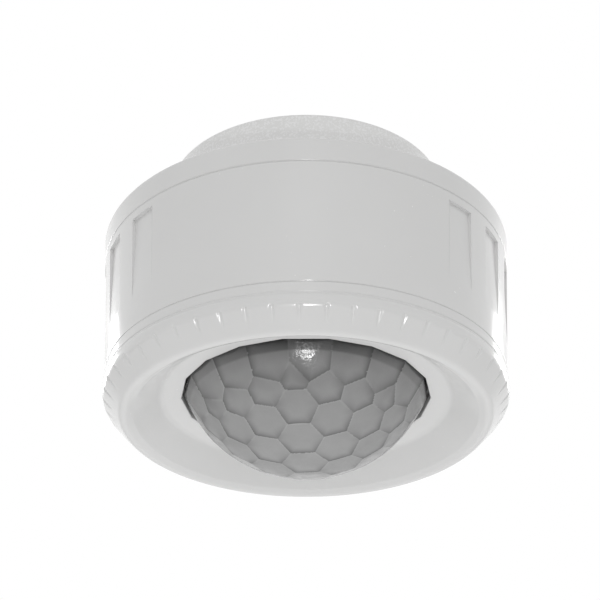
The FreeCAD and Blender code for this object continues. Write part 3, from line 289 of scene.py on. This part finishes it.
SURFACES = {
    "white_shell": dict(dark=(0.77, 0.77, 0.765), light=(0.80, 0.80, 0.795), rough=(0.16, 0.22), grain=700.0,
                        bump=0.03, specks=DUST, edge=0.0002),
    # the base's white is lighter than the shell's white: painted light, for the light from above that falls
    # on the neck
    "white_base_painted_light": dict(dark=(0.83, 0.83, 0.825), light=(0.87, 0.87, 0.86), rough=(0.30, 0.42), grain=700.0,
                       bump=0.06, specks=NECK_DUST, edge=0.0004),
    "rubber": dict(dark=0.02, light=0.035, rough=(0.6, 0.75), grain=1500.0, bump=0.15),
    "grey_plastic": dict(dark=(0.5, 0.5, 0.49), light=(0.56, 0.56, 0.55), rough=(0.4, 0.5), bump=0.08),
    "black_plastic": dict(dark=0.018, light=0.035, rough=(0.4, 0.55), grain=1200.0, bump=0.1),
    "brass": dict(dark=(0.62, 0.44, 0.2), light=(0.72, 0.53, 0.26), rough=(0.25, 0.4), grain=1600.0, bump=0.1,
                  Metallic=1.0),
    "steel": dict(dark=0.5, light=(0.62, 0.62, 0.61), rough=(0.28, 0.42), grain=1600.0, bump=0.12,
                  Metallic=1.0),
    "nickel": dict(dark=(0.6, 0.58, 0.54), light=(0.7, 0.68, 0.64), rough=(0.2, 0.32), grain=1600.0,
                   bump=0.06, Metallic=1.0),
    "board_green": dict(dark=(0.015, 0.14, 0.06), light=(0.03, 0.2, 0.085), rough=(0.25, 0.35), grain=1400.0,
                        bump=0.15, patch=60.0),
    "relay_blue": dict(dark=(0.02, 0.05, 0.2), light=(0.03, 0.075, 0.28), rough=(0.35, 0.45), bump=0.08),
    "film_red": dict(dark=(0.35, 0.04, 0.025), light=(0.45, 0.06, 0.04), rough=(0.4, 0.5), bump=0.08),
    "sleeve_black": dict(dark=(0.015, 0.015, 0.03), light=(0.03, 0.03, 0.05), rough=(0.15, 0.25)),
    "varistor_blue": dict(dark=(0.03, 0.12, 0.35), light=(0.05, 0.17, 0.45), rough=(0.2, 0.3), grain=300.0,
                          bump=0.2),
    "ferrite": dict(dark=(0.03, 0.03, 0.032), light=(0.06, 0.06, 0.062), rough=(0.6, 0.8), grain=2200.0,
                    bump=0.3),
    "trimmer_blue": dict(dark=(0.03, 0.1, 0.28), light=(0.05, 0.14, 0.36), rough=(0.35, 0.45), bump=0.08),
    "button_red": dict(dark=(0.42, 0.03, 0.02), light=(0.52, 0.045, 0.03), rough=(0.25, 0.35)),
    "led_red": dict(dark=(0.4, 0.02, 0.015), light=(0.5, 0.03, 0.02), rough=(0.1, 0.15), bump=0.02,
                    Transmission_Weight=0.5),
    "clear_resin": dict(dark=(0.75, 0.78, 0.8), light=(0.82, 0.84, 0.86), rough=(0.08, 0.14), bump=0.02,
                        Transmission_Weight=0.6),
    "fuse_glass": dict(dark=(0.7, 0.74, 0.74), light=(0.8, 0.82, 0.82), rough=(0.05, 0.1), bump=0.01,
                       Transmission_Weight=0.8),
    "window_dark": dict(dark=(0.06, 0.04, 0.07), light=(0.09, 0.07, 0.1), rough=(0.08, 0.14), bump=0.01),
    "floor_pale": dict(dark=0.79, light=0.83, rough=(0.7, 0.8), grain=300.0, bump=0.02, patch=4.0),
}
MATERIALS = {name: surface(name, **values) for name, values in SURFACES.items()}

NODES_BY_MATERIAL = {
    "white_shell": ["rear_cover", "main_housing", "bezel_ring"],
    "white_base_painted_light": ["mounting_base", "lens_retainer", "time_dial", "lux_dial", "range_dial"],
    "rubber": ["cable_grommet"],
    "grey_plastic": ["terminal_block"],
    "black_plastic": ["board_spacers", "bridge_rectifier", "sensor_holder", "pin_header", "controller_chip",
                      "amplifier_chip", "regulator", "test_switch", "switch_plunger"],
    "brass": ["terminal_cages", "contact_springs", "contact_pads"],
    "steel": ["terminal_screws", "terminal_block_screws", "retainer_screws", "housing_screws"],
    "nickel": ["pir_can", "pir_leads"],
    "board_green": ["power_board", "sensor_board"],
    "relay_blue": ["relay"],
    "film_red": ["film_capacitor"],
    "sleeve_black": ["reservoir_capacitor"],
    "varistor_blue": ["varistor"],
    "ferrite": ["choke"],
    "trimmer_blue": ["time_trimmer", "lux_trimmer", "range_trimmer"],
    "button_red": ["test_button"],
    "led_red": ["status_led"],
    "clear_resin": ["light_sensor"],
    "fuse_glass": ["fuse"],
    "window_dark": ["pir_window"],
}
for material_name, node_names in NODES_BY_MATERIAL.items():
    for node_name in node_names:
        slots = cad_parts[node_name].data.materials
        slots.clear()
        slots.append(MATERIALS[material_name])


# Camera

CAMERA_PLACE = (0, -0.3504, -0.2358)
CAMERA_TILT = math.radians(28.82)
CAMERA_LENS = 98.83
CAMERA_SENSOR = 36
CAMERA_SHIFT = (-0.01, 0.0725)


def make_camera():
    bpy.context.scene.view_settings.view_transform = "Standard"
    data = bpy.data.cameras.new("camera")
    data.lens = CAMERA_LENS
    data.sensor_width = CAMERA_SENSOR
    data.shift_x, data.shift_y = CAMERA_SHIFT
    camera = bpy.data.objects.new("camera", data)
    bpy.context.scene.collection.objects.link(camera)
    camera.location = CAMERA_PLACE
    camera.rotation_euler = (math.pi / 2 + CAMERA_TILT, 0, 0)
    bpy.context.scene.camera = camera


# Light and floor

WORLD_SEEN = 1.0  # how bright the studio is where it's seen, also in reflections
WORLD_LIGHT = 0.585  # and as the light that it sheds on the sensor
LAMP_TARGET = (0, 0, -0.04)
FLASH_PLACE = (0.007, -0.333, -0.2653)
FLASH_TARGET = (0, 0, -0.05)
FLASH_SIZE = 0.012
FLOOR_REACH = 6.0
FLOOR_LEVEL = -0.62


def make_world():
    world = bpy.data.worlds.new("studio")
    bpy.context.scene.world = world
    world.use_nodes = True
    nodes = world.node_tree.nodes
    links = world.node_tree.links
    background = nodes["Background"]
    background.inputs["Color"].default_value = (1, 1, 1, 1)
    rays = nodes.new("ShaderNodeLightPath")

    def either(one, two):
        node = nodes.new("ShaderNodeMath")
        node.operation = "MAXIMUM"
        links.new(one, node.inputs[0])
        links.new(two, node.inputs[1])
        return node.outputs[0]

    seen = either(rays.outputs["Is Camera Ray"], rays.outputs["Is Glossy Ray"])
    seen = either(seen, rays.outputs["Is Transmission Ray"])
    mix = nodes.new("ShaderNodeMix")
    mix.data_type = "FLOAT"
    links.new(seen, mix.inputs["Factor"])
    mix.inputs["A"].default_value = WORLD_LIGHT
    mix.inputs["B"].default_value = WORLD_SEEN
    links.new(mix.outputs["Result"], background.inputs["Strength"])


def make_lamp(name, place, target, size, watts):
    """A round lamp that shines from its place to the target."""
    data = bpy.data.lights.new(name, "AREA")
    data.shape = "DISK"
    data.size = size
    data.energy = watts
    lamp = bpy.data.objects.new(name, data)
    bpy.context.scene.collection.objects.link(lamp)
    lamp.location = place
    lamp.rotation_euler = (Vector(target) - Vector(place)).to_track_quat("-Z", "Y").to_euler()
    return lamp


def make_lamps():
    make_lamp("flash", FLASH_PLACE, FLASH_TARGET, FLASH_SIZE, watts=0.10)
    glint = make_lamp("glint", FLASH_PLACE, FLASH_TARGET, FLASH_SIZE, watts=0.3)
    glint.visible_diffuse = False
    key = make_lamp("key", (0, -0.7, 0.35), LAMP_TARGET, size=0.3, watts=0.6)
    key.visible_glossy = False
    for name, x in (("rim_left", -0.9), ("rim_right", 0.9)):
        make_lamp(name, (x, 0.9, 0.35), LAMP_TARGET, size=0.5, watts=6.5)
    fill = make_lamp("fill", (0, 0.1, -0.58), LAMP_TARGET, size=0.7, watts=0.6)
    fill.visible_glossy = False
    fill.visible_camera = False


def make_floor():
    mesh = bpy.data.meshes.new("floor")
    signs = ((-1, -1), (1, -1), (1, 1), (-1, 1))
    corners = [(x * FLOOR_REACH, y * FLOOR_REACH, FLOOR_LEVEL) for x, y in signs]
    mesh.from_pydata(corners, [], [(0, 1, 2, 3)])
    mesh.materials.append(MATERIALS["floor_pale"])
    floor = bpy.data.objects.new("floor", mesh)
    bpy.context.scene.collection.objects.link(floor)


# Bezel

NEAR_SIDE = 270.0  # the direction of -Y in degrees
OPENING_SIDES = 18
OPENING_TURN = math.radians(NEAR_SIDE + 9.8)
OPENING_RADIUS = 29.7
OPENING_REACH = 34.0  # inside this radius the round section is drawn in to the polygon

# the notches: where they start and how long they are along the chamfer, from its upper corner
NOTCHES = 51
NOTCH_WIDTH = 1.5
NOTCH_DEPTH = 0.4
NOTCH_START = (0.05, 0.45)
NOTCH_LENGTH = 4.4
NOTCH_TAPER = 0.65  # the share of its width that a notch loses as it runs out
NOTCH_FLANK = 1.2  # where its flanks end, in half widths

# the section, from the bead at the top to the dish in the middle
BEAD_RADIUS = 48.0
BEAD_HEIGHT = 2.15
STEP_DEPTH = 0.22
STEP_DROP = 2.5
BULGE_RADIUS = 48.3
BULGE_DROP = 3.4
RIM_FALL = 0.3
DISH_RADIUS = 34.5
DISH_WIDTH = 6.3
DISH_ANGLE = 40.1
CREST_WIDTH = 2.6
CREST_ANGLE = 29.1
CHAMFER_ANGLE = 48.3
BEZEL_WALL = 1.8
BEZEL_SEGMENTS = 2040
SKIN = 1.0  # how far from the chamfer's line a point still belongs to the outer skin


def slope(angle):
    return math.tan(math.radians(angle))


def opening_reach(angle):
    """The distance from the axis to the polygon's edge at an angle."""
    step = 2 * math.pi / OPENING_SIDES
    away = (angle - OPENING_TURN) % step - step / 2
    return OPENING_RADIUS * math.cos(step / 2) / math.cos(away)


def make_bezel():
    dish = RIM - RIM_FALL
    brow = dish - DISH_WIDTH * slope(DISH_ANGLE)
    crest = brow - CREST_WIDTH * slope(CREST_ANGLE)
    brow_radius = DISH_RADIUS + DISH_WIDTH
    crest_radius = brow_radius + CREST_WIDTH
    corner = crest + (BULGE_RADIUS - crest_radius) * slope(CHAMFER_ANGLE)
    inner_bead = BEAD_RADIUS - 0.35 - BEZEL_WALL
    section = rounded_loop([
        # the outer skin, from the bead down to the opening
        (BEAD_RADIUS, BEZEL_TOP, 0.06),
        (BEAD_RADIUS, BEZEL_TOP - BEAD_HEIGHT, 0.4),
        (BEAD_RADIUS - STEP_DEPTH, BEZEL_TOP - STEP_DROP, 0.2),
        (BULGE_RADIUS, BEZEL_TOP - BULGE_DROP, 1.0),
        (BULGE_RADIUS, corner, 2.5),
        (crest_radius, crest, 3.0),
        (brow_radius, brow, 2.5),
        (DISH_RADIUS, dish, 3.0),
        (OPENING_RADIUS, RIM, 0.25),
        # the hidden inner side, which follows the skin roughly
        (OPENING_RADIUS, RIM + BEZEL_WALL, 0.1),
        (DISH_RADIUS + 0.6, dish + BEZEL_WALL, 0.3),
        (brow_radius + 1.0, brow + 1.1, 0.5),
        (crest_radius - 0.4, crest + 2.2, 0.5),
        (BULGE_RADIUS - BEZEL_WALL, corner + 0.8, 0.5),
        (BULGE_RADIUS - BEZEL_WALL, BEZEL_TOP - 3.0, 0.2),
        (inner_bead, BEZEL_TOP - 1.7, 0.2),
        (inner_bead, BEZEL_TOP, 0.1),
    ], spacing=0.4, steps=8)

    lean = math.radians(CHAMFER_ANGLE)
    down = np.array([-math.cos(lean), -math.sin(lean)])
    outward = np.array([math.sin(lean), -math.cos(lean)])
    from_corner = section - np.array([BULGE_RADIUS, corner])
    along = from_corner @ down
    on_skin = np.abs(from_corner @ outward) < SKIN
    run_out = np.clip((NOTCH_LENGTH - along) / NOTCH_LENGTH, 0, 1)
    notch = run_out * smooth_step(*NOTCH_START, along) * on_skin
    half_width = NOTCH_WIDTH / 2 * (1 - NOTCH_TAPER + NOTCH_TAPER * notch)
    pitch = 2 * math.pi / NOTCHES

    def shape(r, z, angle):
        pull = np.clip((r - OPENING_REACH) / (OPENING_RADIUS - OPENING_REACH), 0, 1)
        drawn = r + pull * (opening_reach(angle) - OPENING_RADIUS)
        away = abs((angle + pitch / 2) % pitch - pitch / 2) * BULGE_RADIUS
        depth = NOTCH_DEPTH * notch * (1 - smooth_step(0.0, NOTCH_FLANK, away / half_width))
        return drawn - depth * outward[0], z - depth * outward[1]

    ring = turned("bezel_shell", section, BEZEL_SEGMENTS, MATERIALS["white_shell"], shape, sharp=40)
    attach(ring, "bezel")
    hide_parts("bezel_ring")


# Lens dome

LENS_RADIUS = 31.6
LENS_RISE = 9.75
LENS_CENTRE = CREASE + LENS_RISE
LENS_WALL = 1.0
CORNER_RADIUS = 28.9
SKIRT_TURN = math.radians(NEAR_SIDE + 12.0)
SKIRT_RADIUS = CORNER_RADIUS * math.cos(math.pi / OPENING_SIDES)
FLANGE_HEIGHT = 1.2
FLANGE_GAP = 0.1
INNER_WALL = 1.4
INNER_DROP = 0.4

# the honeycomb: angles in degrees seen from the lens centre
CELL_PITCH = 17.5
CELL_SHIFT = 3.5
CELL_SPREAD = 208.0
CELL_LIMIT = 56.6
LENS_TURN = 6.1
RING_TILT = 58.0

# the cells: each is a cap of a larger sphere, and the nearest ones go over into each other
CELL_ROUND = 80.0
LEAST_LEAN = 0.2
SOFT_CELLS = 4
SOFTNESS = 0.02
RING_SINK = 0.15
GROOVE_DEPTH = 0.1
BORDER_GAP = 0.42  # how much further the second nearest cap is where a border ends

# painted shade and painted highlight on the cell borders, as if light shone through the dome from one side: a
# border turned away from that light is painted darker, one turned towards it gets a thin painted highlight
GLOW_TILT = math.radians(70.0)
PLAIN_BORDER_LIGHT = 0.5
BORDER_FALL = 1.6
LEAST_SHADE = 0.28
GLEAM_GAP = 0.06

# painted shade under the rim, where the lens goes into the bezel: depths below the rim, and the shares of
# painted shade at them
SHADE_DEPTHS = [0.0, 1.5, 1.9, 4.5, 10.0, 18.0]
SHADE_SHARES = [1.0, 0.82, 0.50, 0.27, 0.09, 0.0]
FACET_RIM_SHADE_SHARE = 0.86
SIDE_RIM_SHADE_CUT = 0.6

LENS_SEGMENTS = 720
LENS_ANGLES = np.arange(LENS_SEGMENTS) * 2 * math.pi / LENS_SEGMENTS
LENS_TILTS = np.radians(np.linspace(0.4, 75.0, 210))
INNER_STRIDE = 6

# the lens material: its two greys, the colour of the painted shade under the rim, and ramps over the painted
# border shade and highlight, the painted rim shade and noise
LENS_GREYS = (0.46, 0.50)
LENS_RIM_SHADE = 0.03
LENS_ROUGHNESS = (0.12, 0.22)
LENS_IOR = 1.5
PAINTED_BORDER_SHADES = [(0.0, 0.34), (PLAIN_BORDER_LIGHT, 0.82), (1.0, 1.0)]
EDGE_GLOSS = [(0.0, 0.1), (0.15, 0.1), (0.3, 0.22), (0.48, 0.22), (0.6, 0.04)]
FLAKES = [(0.44, 0.2), (0.56, 1.0)]


def cell_directions():
    """Unit vectors from the lens centre to its cells, which lie on a honeycomb bent over the dome."""
    row_pitch = CELL_PITCH * math.sin(math.radians(60))
    rows = math.ceil(CELL_LIMIT / row_pitch)
    directions = []
    for row in range(-rows, rows + 1):
        for step in range(-2 * rows, 2 * rows + 1):
            forward = CELL_SHIFT + CELL_PITCH * (step + row / 2)
            reach = math.hypot(forward, row * row_pitch)
            if reach > CELL_LIMIT:
                continue
            tilt = math.radians(reach - reach ** 3 / CELL_SPREAD ** 2)
            around = math.atan2(row * row_pitch, forward) - math.radians(LENS_TURN)
            directions.append((math.sin(tilt) * math.sin(around), -math.sin(tilt) * math.cos(around),
                               -math.cos(tilt)))
    return np.array(directions)


def skirt_directions():
    """Unit vectors square to the flat sides of the skirt."""
    step = 2 * math.pi / OPENING_SIDES
    angles = [SKIRT_TURN + step * (k + 0.5) for k in range(OPENING_SIDES)]
    return np.array([(math.cos(a), math.sin(a), 0.0) for a in angles])


def ring_directions():
    """Unit vectors square to the facets between the skirt and the honeycomb."""
    tilt = math.radians(RING_TILT)
    return skirt_directions() * math.sin(tilt) - np.array([0, 0, math.cos(tilt)])


def make_lens_material():
    """Milky grey plastic, with painted shade and painted highlights on its cell borders and painted shade
    where it goes under the rim.
    """
    look = Look("lens_plastic")
    edge = look.mesh_value("edge")
    # painted shade and painted highlight on the cell borders darken or lighten the lens grey
    shade = look.ramp(look.mesh_value("painted_border_light"), PAINTED_BORDER_SHADES)
    colour = look.multiply(look.patches(160.0, detail=4.0, values=LENS_GREYS), shade)
    # painted shade under the rim: the grey goes over to a dark colour by the edge value
    look.feed("Base Color", look.mix_towards(edge, colour, LENS_RIM_SHADE))
    flakes = look.ramp(look.noise(450.0, detail=4.0, roughness=0.6), FLAKES)
    look.feed("Specular IOR Level", look.multiply(look.ramp(edge, EDGE_GLOSS), flakes))
    look.feed("Roughness", look.patches(500.0, detail=3.0, values=LENS_ROUGHNESS))
    look.bump(look.noise(1500.0, detail=3.0), strength=0.2)
    look.shader.inputs["IOR"].default_value = LENS_IOR
    return look.material


def lens_outside():
    """The dome's outer points, with each one's painted border light (0 painted shade, 0.5 plain, 1 painted
    highlight) and painted shade under the rim.
    """
    honeycomb = cell_directions()
    cells = np.vstack([honeycomb, ring_directions()])
    sides = skirt_directions()
    tilt, angle = np.meshgrid(LENS_TILTS, LENS_ANGLES)
    rays = np.stack([np.sin(tilt) * np.cos(angle), np.sin(tilt) * np.sin(angle), -np.cos(tilt)], -1)
    rays = rays.reshape(-1, 3)

    # how far each ray goes to each cell's cap, and to the dome that the nearest caps make up
    lean = np.clip(rays @ cells.T, LEAST_LEAN, 1)
    hub = LENS_RADIUS - CELL_ROUND
    caps = hub * lean + np.sqrt(CELL_ROUND ** 2 - hub ** 2 * (1 - lean ** 2))
    caps[:, len(honeycomb):] -= RING_SINK
    order = np.argsort(caps, 1)[:, :SOFT_CELLS]
    nearest = np.take_along_axis(caps, order, 1)
    dome = nearest[:, 0] - SOFTNESS * np.log(np.exp((nearest[:, :1] - nearest) / SOFTNESS).sum(1))
    gap = nearest[:, 1] - nearest[:, 0]
    border = 1 - np.clip(gap / BORDER_GAP, 0, 1)
    dome = dome - GROOVE_DEPTH * border ** 2
    across = rays @ sides.T
    flats = SKIRT_RADIUS / np.maximum(across.max(1), 1e-3)
    points = rays * np.minimum(dome, flats)[:, None] + np.array([0, 0, LENS_CENTRE])

    # slide is over 0 on the side of a cell that is turned away from the glow, where the border gets painted
    # shade; below 0 the border gets a painted highlight
    glow = np.array([0, -math.sin(GLOW_TILT), -math.cos(GLOW_TILT)])
    from_glow = np.sqrt(1 - np.minimum((rays @ glow) ** 2, 0.99))
    slide = (cells[order[:, 0]] - rays) @ glow / (math.sin(math.radians(CELL_PITCH / 2)) * from_glow)
    shaded = border ** BORDER_FALL * np.clip(LEAST_SHADE + (1 - LEAST_SHADE) * slide, 0, 1)
    gleam = (1 - smooth_step(0.0, GLEAM_GAP, gap)) * np.clip(-slide, 0, 1)
    painted_border_light = PLAIN_BORDER_LIGHT * np.where(dome < flats, 1 - shaded + gleam, 1)

    # painted shade under the rim, by depth below it; every third facet of the ring and the skirt gets a
    # little less of it, and so do the left and right sides
    edge = np.interp(RIM - points[:, 2], SHADE_DEPTHS, SHADE_SHARES)
    in_ring = (order[:, 0] >= len(honeycomb)) | (dome >= flats)
    edge = np.where(in_ring & (across.argmax(1) % 3 == 2), edge * FACET_RIM_SHADE_SHARE, edge)
    edge = edge * (1 - SIDE_RIM_SHADE_CUT * np.abs(rays[:, 0]))

    points[:, 2] = np.minimum(points[:, 2], dome_high.z - FLANGE_HEIGHT)
    shape = (LENS_SEGMENTS, len(LENS_TILTS))
    return points.reshape(*shape, 3), painted_border_light.reshape(shape), edge.reshape(shape)


def lens_inside():
    """The points of the flange and of the smooth inside, from the dome's outer edge to its middle."""
    top = dome_high.z
    flange = dome_high.x - FLANGE_GAP
    profile = [(flange, top - FLANGE_HEIGHT), (flange, top), (SKIRT_RADIUS - LENS_WALL, top)]
    radius = LENS_RADIUS - LENS_WALL
    for tilt in LENS_TILTS[::-INNER_STRIDE]:
        profile.append((min(radius * math.sin(tilt), SKIRT_RADIUS - INNER_WALL),
                        min(LENS_CENTRE - radius * math.cos(tilt), top - INNER_DROP)))
    r, z = np.array(profile).T
    points = np.zeros((LENS_SEGMENTS, len(profile), 3))
    points[:, :, 0] = np.outer(np.cos(LENS_ANGLES), r)
    points[:, :, 1] = np.outer(np.sin(LENS_ANGLES), r)
    points[:, :, 2] = z
    return points


def make_lens():
    outside, painted_border_light, edge = lens_outside()
    inside = lens_inside()
    columns = np.concatenate([outside, inside], 1)
    count = columns.shape[1]
    outer_pole = LENS_SEGMENTS * count
    inner_pole = outer_pole + 1
    poles = [(0, 0, outside[:, 0, 2].mean()), (0, 0, LENS_CENTRE - LENS_RADIUS + LENS_WALL)]
    faces = []
    for step in range(LENS_SEGMENTS):
        here = step * count
        following = (step + 1) % LENS_SEGMENTS * count
        faces.append((outer_pole, following, here))
        for index in range(count - 1):
            faces.append((here + index, following + index, following + index + 1, here + index + 1))
        faces.append((here + count - 1, following + count - 1, inner_pole))
    vertices = np.vstack([columns.reshape(-1, 3), poles])
    dome = make_object("lens_shell", vertices, faces, make_lens_material(), sharp=25)
    # the painted border shade and highlight, and the painted shade under the rim, kept on the mesh's points
    # for the lens material
    values_of_points = [("painted_border_light", painted_border_light, PLAIN_BORDER_LIGHT, PLAIN_BORDER_LIGHT), ("edge", edge, 1.0, 0.0)]
    for name, values, hidden_value, pole_value in values_of_points:
        hidden = np.full(inside.shape[:2], hidden_value)
        values = np.append(np.hstack([values, hidden]), [pole_value, pole_value])
        dome.data.attributes.new(name, "FLOAT", "POINT").data.foreach_set("value", values.astype(np.float32))
    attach(dome, "head")
    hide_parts("lens_dome")


make_camera()
make_world()
make_lamps()
make_floor()
make_bezel()
make_lens()
